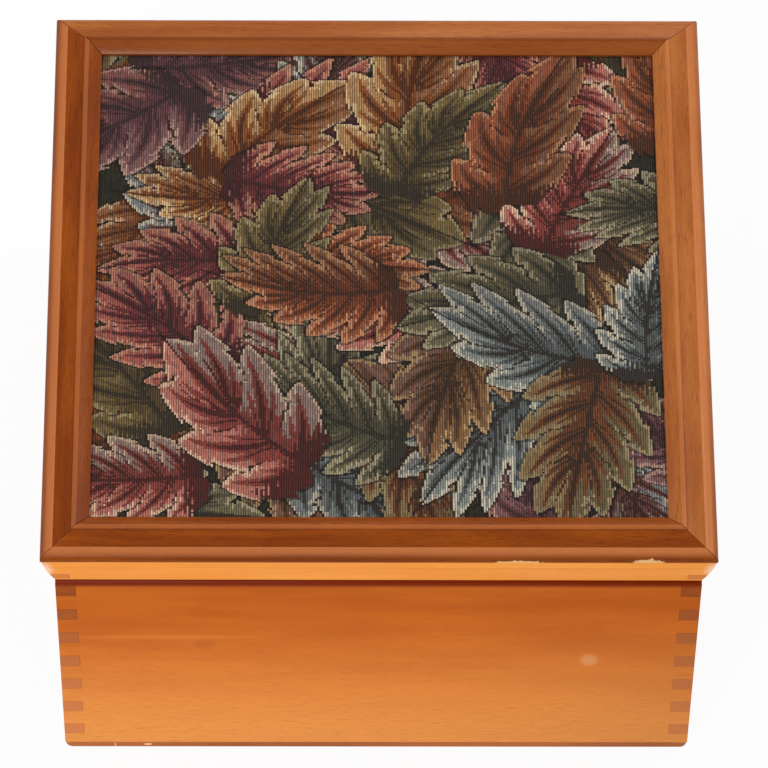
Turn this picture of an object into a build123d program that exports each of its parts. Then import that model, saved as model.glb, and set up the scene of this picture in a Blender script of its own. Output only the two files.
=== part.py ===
from build123d import *
import os

# Wooden sewing box: a finger-jointed case with a sliding tray, and a hinged lid whose
# mitred, moulded frame holds a padded tapestry panel.
# Millimetres. +Z up, +Y to the back, origin on the underside at the middle of the plan.

# Case
BOX_WIDTH = 254.0        # outside, left to right
BOX_DEPTH = 254.0        # outside, front to back
WALL_HEIGHT = 122.5      # the four case boards
BOARD = 8.0              # thickness of the case boards
FINGER_COUNT = 7         # fingers of a side board at each corner
FINGER_HEIGHT = 8.0
FINGER_ABOVE = 2.8       # wood above the top finger
RIM_CHAMFER = 1.8        # outer arris of the rim
ARRIS = 0.5              # eased upright corners of case, lid and tray
BASE_THICKNESS = 4.0
BASE_CORNER = 3.0        # plan rounding of the base panel
BASE_EDGE = 0.6
LINING = 1.5             # felt on the base panel
LINING_GAP = 0.4         # felt to the case boards

# Lid
JOINT_GAP = 0.4          # rim to lid
LID_BOARD = 6.0          # from the case's face to the lid boards' inner face
LID_SIDE = 15.4          # height of the lid boards
LID_FINGER_COUNT = 1
LID_FINGER_HEIGHT = 5.8
LID_FINGER_ABOVE = 7.3   # wood above the lid's finger
LID_SETBACK = 0.5        # lid's lower edge inside the case's face
LID_ARRIS = 0.6          # lower outer arris of the lid boards
LID_PANEL = 6.2
PANEL_EDGE = 0.3
PANEL_RECESS = 3.4       # sunk into the panel for the tapestry board
FLARE_BOW = 0.5          # swell of the lid's sides from their chord

# Moulded frame, measured inwards from its outer edge and up from the lid panel
OVERHANG = 5.0           # past the case's face
FRAME_REVEAL = 0.4       # past the lid panel's top edge
RAIL_WIDTH = 19.0
LIP_HEIGHT = 1.2         # upright outer edge
STRIP_WIDTH = 4.4        # rounded outer strip
STRIP_RISE = 2.3
STRIP_BOW = 0.8          # crown of the strip from its chord
FLAT_WIDTH = 7.6         # sloping flat
FLAT_RISE = 1.7
BEAD_WIDTH = 2.0
BEAD_STEP = 0.7
BEAD_CROWN = 0.3
SLOPE_FALL = 2.6         # from the bead down to the inner edge
REBATE_WIDTH = 3.5
REBATE_HEIGHT = 2.1
FRAME_CORNER = 1.0

# Tapestry panel
PANEL_GAP = 0.4          # board to the rebate's side
TAPESTRY_BOARD = 2.4
TAPESTRY_CLOTH = 0.8
CLOTH_GAP = 0.3          # cloth to the rebate's lip

# Butt hinges
HINGE_FROM_SIDE = 52.0   # from the case's side to a hinge's middle
HINGE_LENGTH = 38.0
HINGE_KNUCKLES = 5
LEAF_THICKNESS = 1.2
LEAF_WIDTH = 5.0         # from the back face into the rim
MORTISE_GAP = 0.1
KNUCKLE_RADIUS = 2.0
BARREL_GAP = 0.25        # barrel to the back face, and knuckle to the other leaf
KNUCKLE_GAP = 0.15       # along the barrel
PIN_RADIUS = 1.0
PIN_GAP = 0.05
PIN_HEAD = 0.6
SCREWS_PER_LEAF = 2
SCREW_PITCH = 22.0
SCREW_SHANK = 0.8
SCREW_HEAD = 1.5
SCREW_LENGTH = 6.0
SCREW_GAP = 0.05

# Sliding tray
TRAY_DEPTH = 140.0
TRAY_WALL = 35.0         # height of the tray boards
TRAY_BOARD = 5.0
TRAY_BASE = 3.0
TRAY_ARRIS = 0.5
TRAY_FINGER_COUNT = 3
TRAY_FINGER_HEIGHT = 6.0
TRAY_FINGER_ABOVE = 3.0
TRAY_SIDE_GAP = 0.6      # tray to each case side
TRAY_END_GAP = 0.5       # tray to the back board at rest
TRAY_BELOW_RIM = 3.0
RUNNER_GAP = 0.3         # tray to its runners
RUNNER_WIDTH = 8.0
RUNNER_HEIGHT = 10.0
RUNNER_ARRIS = 1.0
DIVIDER = 3.0
DIVIDER_GAP = 0.2        # divider to the tray boards, and in the halving joints
DIVIDER_BELOW = 2.0      # dividers below the tray's rim
LONG_DIVIDER_FROM_FRONT = 52.0
CROSS_DIVIDER_SPACING = 78.0

# Levels and places that follow from the sizes above
RIM = BASE_THICKNESS + WALL_HEIGHT
LID_BOTTOM = RIM + JOINT_GAP
FRAME_BOTTOM = LID_BOTTOM + LID_SIDE + LID_PANEL
BOX_BACK = BOX_DEPTH / 2
INNER_WIDTH = BOX_WIDTH - 2 * BOARD
INNER_DEPTH = BOX_DEPTH - 2 * BOARD
AXIS_Y = BOX_BACK + BARREL_GAP + KNUCKLE_RADIUS
AXIS_Z = RIM + JOINT_GAP / 2
TRAY_WIDTH = INNER_WIDTH - 2 * TRAY_SIDE_GAP
TRAY_TOP = RIM - TRAY_BELOW_RIM
TRAY_BOTTOM = TRAY_TOP - TRAY_WALL - TRAY_BASE
TRAY_Y = BOX_BACK - BOARD - TRAY_END_GAP - TRAY_DEPTH / 2
RUNNER_TOP = TRAY_BOTTOM - RUNNER_GAP

ON_FLOOR = (Align.CENTER, Align.CENTER, Align.MIN)
OVERCUT = 1.0            # how far a cutter runs past the wood


def block(width, depth, height, x=0.0, y=0.0, z=0.0):
    """A box centred in plan on x, y that stands on z."""
    return Pos(x, y, z) * Box(width, depth, height, align=ON_FLOOR)


def finger_spans(height, count, finger, above):
    """Lowest and highest level of each finger, evenly pitched down from the top."""
    pitch = height / count
    tops = [height - above - pitch * index for index in range(count)]
    return [(top - finger, top) for top in tops]


def jointed_sides(width, depth, height, board, spans, envelope):
    """Four boards joined at the corners: the side boards' fingers pass through front and back.

    The boards stand on z = 0 and take the outer arrises of the envelope.
    """
    front_y = (depth - board) / 2
    side_x = (width - board) / 2
    fingers = [
        block(board, board, top - low, x, y, low)
        for low, top in spans
        for x in (-side_x, side_x)
        for y in (-front_y, front_y)
    ]
    across = {"front": -front_y, "back": front_y}
    along = {"left": -side_x, "right": side_x}
    boards = {name: block(width, board, height, 0, y) - fingers for name, y in across.items()}
    for name, x in along.items():
        side = block(board, depth - 2 * board, height, x)
        boards[name] = side + [finger for finger in fingers if finger.center().X * x > 0]
    return {name: (shape & envelope).solid() for name, shape in boards.items()}


def eased_block(width, depth, height, face, arris):
    """A block with eased upright corners and the edges of one level face bevelled.

    The face is 0 for the lower one and -1 for the upper one.
    """
    plain = block(width, depth, height)
    eased = chamfer(plain.edges().filter_by(Axis.Z), ARRIS)
    bevelled = chamfer(plain.faces().sort_by(Axis.Z)[face].edges(), arris)
    return eased & bevelled


def moved(shapes, y, z):
    """The named shapes, moved back by y and up by z."""
    return {name: Pos(0, y, z) * shape for name, shape in shapes.items()}


def case_boards():
    """Front, back, left and right board, with the hinge mortises in the back one."""
    envelope = eased_block(BOX_WIDTH, BOX_DEPTH, WALL_HEIGHT, -1, RIM_CHAMFER)
    spans = finger_spans(WALL_HEIGHT, FINGER_COUNT, FINGER_HEIGHT, FINGER_ABOVE)
    boards = jointed_sides(BOX_WIDTH, BOX_DEPTH, WALL_HEIGHT, BOARD, spans, envelope)
    boards = moved(boards, 0, BASE_THICKNESS)
    boards["back"] -= hinge_cutters(RIM, -1)
    return {f"{name}_board": board for name, board in boards.items()}


def base_panel():
    """The bottom, planted under the case boards, with rounded corners."""
    panel = block(BOX_WIDTH, BOX_DEPTH, BASE_THICKNESS)
    panel = fillet(panel.edges().filter_by(Axis.Z), BASE_CORNER)
    return chamfer(panel.faces().sort_by(Axis.Z)[0].edges(), BASE_EDGE)


def base_lining():
    """Felt on the base panel, inside the case boards."""
    felt = block(INNER_WIDTH - 2 * LINING_GAP, INNER_DEPTH - 2 * LINING_GAP, LINING)
    return Pos(0, 0, BASE_THICKNESS) * felt


def tray_runner(side):
    """A strip along one case side; side is -1 on the left and 1 on the right."""
    middle = side * (INNER_WIDTH - RUNNER_WIDTH) / 2
    runner = block(RUNNER_WIDTH, INNER_DEPTH, RUNNER_HEIGHT, middle, 0, RUNNER_TOP - RUNNER_HEIGHT)
    inner = runner.edges().filter_by(Axis.Y).sort_by(Axis.X)
    return chamfer(inner[:2] if side > 0 else inner[-2:], RUNNER_ARRIS)


def flared_section(width):
    """Section of the lid's outer form: its sides swell outwards from the rim to the frame."""
    low = width / 2 - LID_SETBACK
    high = width / 2 + OVERHANG - FRAME_REVEAL
    top = LID_SIDE + LID_PANEL
    outline = [
        Line((-low, 0), (low, 0)),
        SagittaArc((low, 0), (high, top), -FLARE_BOW),
        Line((high, top), (-high, top)),
        SagittaArc((-high, top), (-low, 0), -FLARE_BOW),
    ]
    return make_face(Curve() + outline)


def flared_form():
    """The lid's outer form below the frame, standing on z = 0."""
    reach = max(BOX_WIDTH, BOX_DEPTH)
    from_front = extrude(Plane.XZ * flared_section(BOX_WIDTH), reach, both=True)
    from_side = extrude(Plane.YZ * flared_section(BOX_DEPTH), reach, both=True)
    return from_front & from_side


def lid_boards():
    """The lid's flared jointed sides, with the hinge mortises in the back one."""
    form = flared_form()
    eased = chamfer(form.faces().sort_by(Axis.Z)[0].edges(), LID_ARRIS)
    spans = finger_spans(LID_SIDE, LID_FINGER_COUNT, LID_FINGER_HEIGHT, LID_FINGER_ABOVE)
    width = BOX_WIDTH + 2 * OVERHANG
    depth = BOX_DEPTH + 2 * OVERHANG
    boards = jointed_sides(width, depth, LID_SIDE, LID_BOARD + OVERHANG, spans, eased)
    boards = moved(boards, 0, LID_BOTTOM)
    boards["back"] -= hinge_cutters(LID_BOTTOM, 1)
    return {f"lid_{name}_board": board for name, board in boards.items()}


def lid_panel():
    """The panel that closes the lid's sides and carries the frame, sunk for the tapestry board."""
    width = BOX_WIDTH + 2 * OVERHANG
    depth = BOX_DEPTH + 2 * OVERHANG
    panel = flared_form() & block(width, depth, LID_PANEL, z=LID_SIDE)
    panel = chamfer(panel.faces().sort_by(Axis.Z)[0].edges(), PANEL_EDGE)
    margin = 2 * (RAIL_WIDTH - REBATE_WIDTH)
    panel -= block(width - margin, depth - margin, LID_PANEL, z=LID_SIDE + LID_PANEL - PANEL_RECESS)
    return Pos(0, 0, LID_BOTTOM) * panel.solid()


def rail_profile():
    """Section of the moulding: first axis inwards from the outer edge, second axis up."""
    strip_top = LIP_HEIGHT + STRIP_RISE
    flat_end = STRIP_WIDTH + FLAT_WIDTH
    flat_top = strip_top + FLAT_RISE
    bead_top = flat_top + BEAD_STEP
    bead_end = flat_end + BEAD_WIDTH
    inner_edge = bead_top - SLOPE_FALL
    rebate_side = RAIL_WIDTH - REBATE_WIDTH
    top = [
        Line((0, 0), (0, LIP_HEIGHT)),
        SagittaArc((0, LIP_HEIGHT), (STRIP_WIDTH, strip_top), STRIP_BOW),
        Line((STRIP_WIDTH, strip_top), (flat_end, flat_top)),
        Line((flat_end, flat_top), (flat_end, bead_top)),
        SagittaArc((flat_end, bead_top), (bead_end, bead_top), BEAD_CROWN),
        Line((bead_end, bead_top), (RAIL_WIDTH, inner_edge)),
    ]
    rebate = Polyline(
        (RAIL_WIDTH, inner_edge),
        (RAIL_WIDTH, REBATE_HEIGHT),
        (rebate_side, REBATE_HEIGHT),
        (rebate_side, 0),
        (0, 0),
    )
    return make_face(Curve() + top + rebate)


def frame_rail(length, reach, turn):
    """A mitred rail, its outer edge at reach from the middle, turned about the lid's middle."""
    section = Plane.YZ * rail_profile()
    moulding = Pos(-length / 2, -reach, FRAME_BOTTOM) * extrude(section, length)
    height = moulding.bounding_box().size.Z
    plan = Polyline(
        (-length / 2, -reach),
        (length / 2, -reach),
        (length / 2 - RAIL_WIDTH, RAIL_WIDTH - reach),
        (RAIL_WIDTH - length / 2, RAIL_WIDTH - reach),
        close=True,
    )
    mitres = Pos(0, 0, FRAME_BOTTOM) * extrude(make_face(plan), height)
    corners = block(length, 2 * reach, height, 0, 0, FRAME_BOTTOM)
    corners = fillet(corners.edges().filter_by(Axis.Z), FRAME_CORNER)
    return Rot(0, 0, turn) * (moulding & mitres & corners).solid()


def frame_rails():
    """The four mitred rails that overhang the lid's sides all round."""
    frame_width = BOX_WIDTH + 2 * OVERHANG
    frame_depth = BOX_DEPTH + 2 * OVERHANG
    return {
        "frame_front_rail": frame_rail(frame_width, frame_depth / 2, 0),
        "frame_right_rail": frame_rail(frame_depth, frame_width / 2, 90),
        "frame_back_rail": frame_rail(frame_width, frame_depth / 2, 180),
        "frame_left_rail": frame_rail(frame_depth, frame_width / 2, 270),
    }


def tapestry_layers():
    """Backing board, wadding and cloth, stacked in the lid panel's recess under the frame."""
    margin = 2 * (RAIL_WIDTH - OVERHANG - REBATE_WIDTH + PANEL_GAP)
    width = BOX_WIDTH - margin
    depth = BOX_DEPTH - margin
    cloth_bottom = REBATE_HEIGHT - CLOTH_GAP - TAPESTRY_CLOTH
    floor = FRAME_BOTTOM - PANEL_RECESS
    wadding = PANEL_RECESS + cloth_bottom - TAPESTRY_BOARD
    return {
        "tapestry_board": block(width, depth, TAPESTRY_BOARD, z=floor),
        "tapestry_wadding": block(width, depth, wadding, z=floor + TAPESTRY_BOARD),
        "tapestry_cover": block(width, depth, TAPESTRY_CLOTH, z=FRAME_BOTTOM + cloth_bottom),
    }


def hinge_middles():
    """The middle of each hinge along X."""
    reach = BOX_WIDTH / 2 - HINGE_FROM_SIDE
    return [-reach, reach]


def screw_places(middle):
    """Places of one leaf's screws along the hinge, and the distance they stand from the back."""
    first = middle - SCREW_PITCH * (SCREWS_PER_LEAF - 1) / 2
    y = BOX_BACK - LEAF_WIDTH / 2
    return [(first + SCREW_PITCH * index, y) for index in range(SCREWS_PER_LEAF)]


def screw(gap=0.0):
    """A countersunk screw with its head's face at z = 0 and its shank below; gap widens it."""
    sink = SCREW_HEAD - SCREW_SHANK
    head = Pos(0, 0, -sink / 2) * Cone(SCREW_SHANK + gap, SCREW_HEAD + gap, sink)
    length = SCREW_LENGTH + gap
    shank = Pos(0, 0, -length / 2) * Cylinder(SCREW_SHANK + gap, length)
    return head + shank


def set_screw(shape, place, level, up):
    """Sets a screw at a place; up is -1 where it is driven down from level, 1 where up."""
    x, y = place
    return Pos(x, y, level) * (shape if up < 0 else Rot(180, 0, 0) * shape)


def hinge_cutters(level, up):
    """Mortises and screw holes in the back board whose edge is at level."""
    cutters = []
    for middle in hinge_middles():
        bottom = level if up > 0 else level - LEAF_THICKNESS
        depth = LEAF_WIDTH + MORTISE_GAP + OVERCUT
        y = BOX_BACK - LEAF_WIDTH - MORTISE_GAP + depth / 2
        width = HINGE_LENGTH + 2 * MORTISE_GAP
        low = bottom - (OVERCUT if up > 0 else 0)
        cutters.append(block(width, depth, LEAF_THICKNESS + OVERCUT, middle, y, low))
        cutters += [set_screw(screw(SCREW_GAP), place, level, up) for place in screw_places(middle)]
    return cutters


def knuckle_spans(middle):
    """Start and end along X of each knuckle, from left to right."""
    pitch = HINGE_LENGTH / HINGE_KNUCKLES
    start = middle - HINGE_LENGTH / 2
    return [(start + pitch * index, start + pitch * (index + 1)) for index in range(HINGE_KNUCKLES)]


def barrel(start, end, radius):
    """A cylinder along the hinge axis from start to end."""
    return Pos((start + end) / 2, AXIS_Y, AXIS_Z) * Rot(0, 90, 0) * Cylinder(radius, end - start)


def hinge_leaf(middle, level, up):
    """A leaf on the rim (up = -1, outer knuckles) or on the lid (up = 1, knuckles between)."""
    spans = knuckle_spans(middle)
    own = spans[0::2] if up < 0 else spans[1::2]
    other = spans[1::2] if up < 0 else spans[0::2]
    reach = AXIS_Y - (BOX_BACK - LEAF_WIDTH)
    bottom = level if up > 0 else level - LEAF_THICKNESS
    leaf = block(HINGE_LENGTH, reach, LEAF_THICKNESS, middle, AXIS_Y - reach / 2, bottom)
    room = KNUCKLE_RADIUS + BARREL_GAP
    half_gap = KNUCKLE_GAP / 2
    leaf -= [barrel(start - half_gap, end + half_gap, room) for start, end in other]
    leaf += [barrel(start + half_gap, end - half_gap, KNUCKLE_RADIUS) for start, end in own]
    leaf -= barrel(spans[0][0] - OVERCUT, spans[-1][1] + OVERCUT, PIN_RADIUS + PIN_GAP)
    leaf -= [set_screw(screw(SCREW_GAP), place, level, up) for place in screw_places(middle)]
    return leaf.solid()


def hinge_pin(middle):
    """The pin of one hinge, with a flat head at each end of the barrel."""
    half = HINGE_LENGTH / 2 + KNUCKLE_GAP
    pin = barrel(middle - half, middle + half, PIN_RADIUS)
    for side in (-1, 1):
        head = barrel(middle - PIN_HEAD / 2, middle + PIN_HEAD / 2, KNUCKLE_RADIUS)
        pin += Pos(side * (half + PIN_HEAD / 2), 0, 0) * head
    return pin.solid()


def hinge_screws(level, up):
    """All the screws of one body's leaves, each a separate solid."""
    places = [place for middle in hinge_middles() for place in screw_places(middle)]
    return Compound([set_screw(screw(), place, level, up).solid() for place in places])


def tray_boards():
    """Front, back, left and right board of the tray."""
    envelope = eased_block(TRAY_WIDTH, TRAY_DEPTH, TRAY_WALL, -1, TRAY_ARRIS)
    spans = finger_spans(TRAY_WALL, TRAY_FINGER_COUNT, TRAY_FINGER_HEIGHT, TRAY_FINGER_ABOVE)
    boards = jointed_sides(TRAY_WIDTH, TRAY_DEPTH, TRAY_WALL, TRAY_BOARD, spans, envelope)
    boards = moved(boards, TRAY_Y, TRAY_BOTTOM + TRAY_BASE)
    return {f"tray_{name}_board": board for name, board in boards.items()}


def tray_base_panel():
    """The tray's bottom, planted under its boards."""
    return block(TRAY_WIDTH, TRAY_DEPTH, TRAY_BASE, 0, TRAY_Y, TRAY_BOTTOM)


def tray_dividers():
    """One long divider and two cross dividers, halved into each other where they cross."""
    floor = TRAY_BOTTOM + TRAY_BASE
    height = TRAY_WALL - DIVIDER_BELOW
    slot = DIVIDER + 2 * DIVIDER_GAP
    long_width = TRAY_WIDTH - 2 * (TRAY_BOARD + DIVIDER_GAP)
    cross_depth = TRAY_DEPTH - 2 * (TRAY_BOARD + DIVIDER_GAP)
    long_y = TRAY_Y - TRAY_DEPTH / 2 + LONG_DIVIDER_FROM_FRONT
    cross_x = {"left": -CROSS_DIVIDER_SPACING / 2, "right": CROSS_DIVIDER_SPACING / 2}
    notch_height = height / 2 + DIVIDER_GAP / 2
    long_divider = block(long_width, DIVIDER, height, 0, long_y, floor)
    top_notch = floor + height - notch_height
    notches = [block(slot, slot, notch_height, x, long_y, top_notch) for x in cross_x.values()]
    dividers = {"tray_long_divider": (long_divider - notches).solid()}
    for side, x in cross_x.items():
        cross = block(DIVIDER, cross_depth, height, x, TRAY_Y, floor)
        cross -= block(slot, slot, notch_height, x, long_y, floor)
        dividers[f"tray_cross_divider_{side}"] = cross.solid()
    return dividers


def hinges():
    """Leaves, pins and screws of both hinges."""
    pieces = {}
    for side, middle in zip(("left", "right"), hinge_middles()):
        pieces[f"hinge_leaf_box_{side}"] = hinge_leaf(middle, RIM, -1)
        pieces[f"hinge_leaf_lid_{side}"] = hinge_leaf(middle, LID_BOTTOM, 1)
        pieces[f"hinge_pin_{side}"] = hinge_pin(middle)
    pieces["hinge_screws_box"] = hinge_screws(RIM, -1)
    pieces["hinge_screws_lid"] = hinge_screws(LID_BOTTOM, 1)
    return pieces


def sewing_box():
    """Every piece by its node's name."""
    pieces = {
        "base_panel": base_panel(),
        "base_lining": base_lining(),
        "tray_runner_left": tray_runner(-1),
        "tray_runner_right": tray_runner(1),
        "lid_panel": lid_panel(),
        "tray_base_panel": tray_base_panel(),
    }
    for group in (case_boards, lid_boards, frame_rails, tapestry_layers, hinges, tray_boards, tray_dividers):
        pieces.update(group())
    return pieces


os.makedirs("parts", exist_ok=True)
for node, piece in sewing_box().items():
    piece.label = node
    export_step(piece, f"parts/{node}.step")
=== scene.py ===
"""Looks of a wooden sewing box with a tapestry lid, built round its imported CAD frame.

Everything is in metres in the frame of the CAD model: +Z up, +Y to the back, the origin
under the middle of the box. Case, lid and tray are finger-jointed boards; the lid has a
mitred, moulded frame round a ribbed tapestry of overlapping leaves.
"""

from __future__ import annotations

import enum
import logging
import math
from dataclasses import dataclass, replace
from typing import Callable, Iterable, Sequence

import bmesh
import bpy
import numpy as np
from bmesh.types import BMEdge, BMesh, BMFace, BMVert
from bpy.types import Material, Mesh, Node, NodeSocket, NodeTree, Object
from mathutils import Matrix, Vector


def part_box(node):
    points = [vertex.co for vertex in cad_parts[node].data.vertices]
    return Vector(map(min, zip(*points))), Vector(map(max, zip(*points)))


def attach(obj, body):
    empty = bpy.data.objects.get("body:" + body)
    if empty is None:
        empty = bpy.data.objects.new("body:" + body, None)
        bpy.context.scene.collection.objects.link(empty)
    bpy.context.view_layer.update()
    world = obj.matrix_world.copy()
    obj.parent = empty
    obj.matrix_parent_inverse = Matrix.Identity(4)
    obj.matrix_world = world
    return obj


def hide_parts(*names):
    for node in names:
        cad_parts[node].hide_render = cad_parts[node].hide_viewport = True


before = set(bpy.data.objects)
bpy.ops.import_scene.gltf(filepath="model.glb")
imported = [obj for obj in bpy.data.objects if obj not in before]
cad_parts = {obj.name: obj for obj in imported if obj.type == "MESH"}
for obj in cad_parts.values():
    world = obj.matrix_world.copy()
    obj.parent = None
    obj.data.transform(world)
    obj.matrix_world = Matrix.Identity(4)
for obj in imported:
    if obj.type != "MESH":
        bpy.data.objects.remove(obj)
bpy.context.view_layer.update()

log = logging.getLogger("sewing_box")

MM = 0.001
NEAR = 1e-6
CORNER = 0.6
CASE_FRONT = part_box("front_board")[0][1] / MM
FRAME_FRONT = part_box("frame_front_rail")[0][1] / MM
Colour = tuple[float, float, float]
Point = tuple[float, float, float]


def linear(shown: Sequence[float]) -> np.ndarray:
    """Colour values from 0 to 255, as they look on screen, in linear light."""
    share = np.clip(np.asarray(shown, float) / 255, 0, 1)
    return np.where(share <= 0.04045, share / 12.92, ((share + 0.055) / 1.055) ** 2.4)


def srgb(*shown: int) -> Colour:
    """A colour that is written as it looks on screen, in linear light."""
    return tuple(float(value) for value in linear(shown))


def darker(colour: Colour, share: float) -> Colour:
    """A colour with a share of its light."""
    return tuple(share * value for value in colour)


class Axis(enum.Enum):
    """The way the grain of a board runs, with its turn onto the shader's first axis."""

    ACROSS = (0.0, 0.0, 0.0)
    BACK = (0.0, 0.0, math.pi / 2)


class Side(enum.Enum):
    """A side of the box, with its turn from the front in half turns."""

    FRONT = 0.0
    BACK = 1.0
    LEFT = -0.5
    RIGHT = 0.5

    @property
    def word(self) -> str:
        """Its word in the names of nodes and pieces."""
        return self.name.lower()

    @property
    def grain(self) -> Axis:
        """The way the grain of its board runs."""
        return Axis.ACROSS if self in (Side.FRONT, Side.BACK) else Axis.BACK

    def sizes(self, half: Vector) -> tuple[float, float]:
        """Half of its board's length and its face's distance from the middle."""
        return (half.x, half.y) if self.grain is Axis.ACROSS else (half.y, half.x)

    def turn(self, mesh: BMesh) -> None:
        """Turns a mesh that was made at the front to this side."""
        matrix = Matrix.Rotation(self.value * math.pi, 3, "Z")
        bmesh.ops.rotate(mesh, verts=mesh.verts[:], cent=(0, 0, 0), matrix=matrix)


class Value:
    """A node's output that is reckoned with like a number or a vector."""

    def __init__(self, graph: Graph, socket: NodeSocket) -> None:
        """Keeps the output and its graph."""
        self.graph, self.socket = graph, socket

    def reckon(self, operation: str, *values: Term) -> Value:
        """The result of a Math node, or of a Vector Math node where this is a vector."""
        kind = "VectorMath" if self.socket.type == "VECTOR" else "Math"
        return self.graph.add(kind, dict(enumerate(values)), operation=operation)

    def __add__(self, other: Term) -> Value:
        """The sum."""
        return self.reckon("ADD", self, other)

    def __sub__(self, other: Term) -> Value:
        """This less the other."""
        return self.reckon("SUBTRACT", self, other)

    def __rsub__(self, other: Term) -> Value:
        """The other less this."""
        return self.reckon("SUBTRACT", other, self)

    def __mul__(self, other: Term) -> Value:
        """The product."""
        return self.reckon("MULTIPLY", self, other)

    def __truediv__(self, other: Term) -> Value:
        """This divided by the other."""
        return self.reckon("DIVIDE", self, other)


Term = Value | float | Sequence[float]


class Graph:
    """Adds nodes to one node tree and links them."""

    def __init__(self, tree: NodeTree) -> None:
        """Keeps the tree that the nodes go into."""
        self.tree = tree

    def node(self, kind: str, inputs: dict[int | str, Term] | None = None, **settings: object) -> Node:
        """Adds a node.

        Args:
            kind: The node's type, without "ShaderNode".
            inputs: What goes into its sockets, by name or number.
            **settings: The node's own properties.

        Returns:
            The new node.
        """
        node = self.tree.nodes.new(f"ShaderNode{kind}")
        for name, value in settings.items():
            setattr(node, name, value)
        for key, value in (inputs or {}).items():
            self.feed(node.inputs[key], value)
        return node

    def add(
            self, kind: str, inputs: dict[int | str, Term] | None = None, output: int | str = 0,
            **settings: object) -> Value:
        """Adds a node and gives one of its outputs, by name or number."""
        return Value(self, self.node(kind, inputs, **settings).outputs[output])

    def feed(self, socket: NodeSocket, value: Term) -> None:
        """Links a socket to a value, or sets its own.

        Args:
            socket: The input socket.
            value: A value of the graph, or a plain number, vector or colour.
        """
        if isinstance(value, Value):
            self.tree.links.new(value.socket, socket)
        else:
            opaque = (1.0,) if socket.type == "RGBA" else ()
            socket.default_value = (*value, *opaque) if isinstance(value, tuple) else value

    def math(self, operation: str, *values: Term) -> Value:
        """The result of a Math node."""
        return self.add("Math", dict(enumerate(values)), operation=operation)

    def stretch(
            self, value: Value, low: Term, high: Term, to_low: float = 0.0, to_high: float = 1.0) -> Value:
        """A value's range mapped smoothly onto another, with its ends held."""
        inputs = {0: value, 1: low, 2: high, 3: to_low, 4: to_high}
        return self.add("MapRange", inputs, interpolation_type="SMOOTHSTEP")

    def noise(self, place: Value, scale: float = 1.0, detail: float = 2.0, roughness: float = 0.5) -> Value:
        """A noise value at a place."""
        inputs = {"Vector": place, "Scale": scale, "Detail": detail, "Roughness": roughness}
        return self.add("TexNoise", inputs)

    def mix(self, share: Term, first: Term, second: Term, blend: str = "MIX") -> Value:
        """Two colours mixed by a share."""
        return self.add("Mix", {0: share, 6: first, 7: second}, 2, data_type="RGBA", blend_type=blend)

    def part(self, vector: Value, axis: int) -> Value:
        """A vector's part along one axis."""
        return self.add("SeparateXYZ", {0: vector}, axis)

    def length(self, vector: Value) -> Value:
        """A vector's length."""
        return self.add("VectorMath", {0: vector}, "Value", operation="LENGTH")

    def bump(self, height: Value, strength: float, distance: float) -> Value:
        """A normal that follows a height, over a distance in millimetres."""
        return self.add("Bump", {"Strength": strength, "Distance": distance * MM, "Height": height})

    def seen(self) -> Value:
        """Finds the rays that show what stands behind: from the camera, through glass and off gloss.

        Returns:
            1 for those rays and 0 for the others.
        """
        camera, glass, gloss = (
            self.add("LightPath", output=f"Is {kind} Ray") for kind in ("Camera", "Transmission", "Glossy"))
        return self.math("MAXIMUM", self.math("MAXIMUM", camera, glass), gloss)


class Effect:
    """A shader node group on a vector in millimetres that finishes use, built once."""

    def __init__(self, name: str, inputs: Sequence[str], outputs: Sequence[str]) -> None:
        """Makes the group.

        Args:
            name: The group's name.
            inputs: Its number inputs, which come after its vector.
            outputs: Its number outputs.
        """
        self.tree = bpy.data.node_groups.new(name, "ShaderNodeTree")
        self.graph = Graph(self.tree)
        sockets = [("Vector", "INPUT", "NodeSocketVector")]
        sockets += [(label, "INPUT", "NodeSocketFloat") for label in inputs]
        sockets += [(label, "OUTPUT", "NodeSocketFloat") for label in outputs]
        for label, way, kind in sockets:
            self.tree.interface.new_socket(name=label, in_out=way, socket_type=kind)
        inner = self.tree.nodes.new("NodeGroupInput").outputs
        self.inside = {socket.name: Value(self.graph, socket) for socket in inner}
        self.outside = self.tree.nodes.new("NodeGroupOutput").inputs

    def give(self, **results: Value) -> None:
        """Links results to the group's outputs."""
        for label, value in results.items():
            self.graph.feed(self.outside[label], value)

    def place(self, graph: Graph, **inputs: Term) -> dict[str, Value]:
        """Puts the group into a material's graph and gives its outputs by name."""
        node = graph.node("Group", inputs, node_tree=self.tree)
        return {socket.name: Value(graph, socket) for socket in node.outputs}


def build_grain() -> Effect:
    """Wood seen from the side: broad figure, growth bands, short flecks and long pores.

    Returns:
        The group, with the grain along the first axis.
    """
    effect = Effect("wood_grain", ["Seed"], ["Figure", "Bands", "Fleck", "Pore"])
    g, seed = effect.graph, effect.inside["Seed"]
    offset = g.add("CombineXYZ", {"X": seed * 173.0, "Y": seed * 61.0, "Z": seed * 29.0})
    place = effect.inside["Vector"] + offset
    figure = g.noise(place * (0.011, 0.06, 0.06), 1.0, 3.0, 0.55)
    warp = g.noise(place * (0.006, 0.05, 0.05))
    lines = g.part(place, 1) + g.part(place, 2) * 0.83
    rings = g.math("FRACT", lines * 0.16 + warp * 5.0)
    fleck = g.noise(place * (0.2, 3.1, 3.1), 1.0, 2.0, 0.6)
    pore = g.noise(place * (0.13, 3.0, 3.0), 1.0, 2.0, 0.6)
    effect.give(
        Figure=g.stretch(figure, 0.3, 0.7),
        Bands=g.math("ABSOLUTE", rings - 0.5) * 2.0,
        Fleck=g.stretch(fleck, 0.48, 0.72),
        Pore=g.stretch(pore, 0.55, 0.72),
    )
    return effect


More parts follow.
